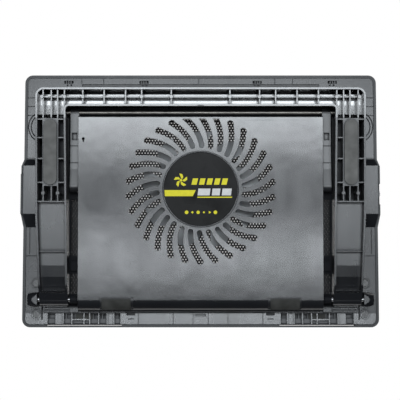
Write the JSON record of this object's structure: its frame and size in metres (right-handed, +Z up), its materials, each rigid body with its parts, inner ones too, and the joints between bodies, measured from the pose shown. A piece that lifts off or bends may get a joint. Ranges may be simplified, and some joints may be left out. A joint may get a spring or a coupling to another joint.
{
  "type": "laptop cooling pad",
  "caption": "Tilting laptop cooling pad: mesh-topped tray with a fan behind a swirl grille, on a ribbed U-shaped stand with a prop bar, tilt notches and flip-up laptop stops.",
  "frame": {"origin": "on the desk, under the middle of the whole pad's box", "axes": "+X to the left side seen from below with the rear upwards (the sockets' side), +Y to the rear, away from the user, +Z up"},
  "size_m": [0.384, 0.2697, 0.0511],
  "materials": {
    "stand_plastic": "satin moulded black ABS",
    "shell_plastic": "fine-grained moulded black ABS",
    "bezel_plastic": "fine-grained moulded black ABS",
    "cover_plastic": "satin moulded black ABS",
    "foot_rubber": "soft grey-black rubber",
    "mesh_steel": "black powder coat on perforated steel",
    "label_print": "printed vinyl sticker",
    "pin_steel": "drawn steel",
    "rod_steel": "black-painted steel rod",
    "leg_plastic": "glass-filled black nylon",
    "bearing_brass": "sintered bronze",
    "board_green": "green solder mask",
    "core_steel": "stacked steel laminations",
    "coil_copper": "enamelled copper wire",
    "socket_shell": "plated steel socket shells",
    "screw_black": "black zinc screws",
    "lead_sleeve": "black sleeve",
    "rotor_plastic": "moulded dark grey PBT",
    "magnet_ferrite": "rubber-bonded ferrite",
    "dial_plastic": "knurled black plastic"
  },
  "bodies": {
    "stand": {"stand_frame": "stand_plastic", "left_long_foot": "foot_rubber", "right_long_foot": "foot_rubber"},
    "tray": {"base_shell": "shell_plastic", "top_bezel": "bezel_plastic", "mesh_plate": "mesh_steel", "fan_cover": "cover_plastic", "cover_label": "label_print", "left_front_foot": "foot_rubber", "right_front_foot": "foot_rubber", "left_hinge_pin": "pin_steel", "right_hinge_pin": "pin_steel", "left_prop_pin": "pin_steel", "right_prop_pin": "pin_steel", "fan_bearing": "bearing_brass", "motor_board": "board_green", "fan_stator": "core_steel", "stator_coils": "coil_copper", "left_retainer_pin": "pin_steel", "right_retainer_pin": "pin_steel", "socket_board": "board_green", "dial_board": "board_green", "usb_sockets": "socket_shell", "dial_spindle": "pin_steel", "rim_screws": "screw_black", "cover_screws": "screw_black", "fan_lead": "lead_sleeve"},
    "prop": {"prop_rod": "rod_steel", "left_prop_leg": "leg_plastic", "right_prop_leg": "leg_plastic"},
    "rotor": {"fan_rotor": "rotor_plastic", "fan_magnet": "magnet_ferrite", "fan_shaft": "pin_steel"},
    "left_retainer": {"left_retainer": "bezel_plastic", "left_retainer_grip": "foot_rubber"},
    "right_retainer": {"right_retainer": "bezel_plastic", "right_retainer_grip": "foot_rubber"},
    "dial": {"speed_dial": "dial_plastic"}
  },
  "joints": [
    {"name": "tray_tilt", "type": "hinge", "parent": "stand", "child": "tray", "pos_m": [0, -0.10383, 0.013], "axis": [1, 0, 0], "range_deg": [0, 38]},
    {"name": "prop_swing", "type": "hinge", "parent": "tray", "child": "prop", "pos_m": [0, 0.0151, 0.02236], "axis": [1, 0, 0], "range_deg": [-106.5, 0]},
    {"name": "fan_spin", "type": "hinge", "parent": "tray", "child": "rotor", "pos_m": [0, 0.01158, 0.01743], "axis": [0, -0.0384, 0.9993], "continuous": true},
    {"name": "left_retainer_flip", "type": "hinge", "parent": "tray", "child": "left_retainer", "pos_m": [0.1235, -0.13029, 0.02797], "axis": [1, 0, 0], "range_deg": [0, 90]},
    {"name": "right_retainer_flip", "type": "hinge", "parent": "tray", "child": "right_retainer", "pos_m": [-0.1235, -0.13029, 0.02797], "axis": [1, 0, 0], "range_deg": [0, 90]},
    {"name": "dial_turn", "type": "hinge", "parent": "tray", "child": "dial", "pos_m": [-0.1839, 0.00687, 0.03395], "axis": [0, -0.0785, 0.9969], "range_deg": [0, 270]}
  ],
  "couplings": [
    {"joint": "prop_swing", "follows": "tray_tilt", "ratio": -2.8}
  ]
}
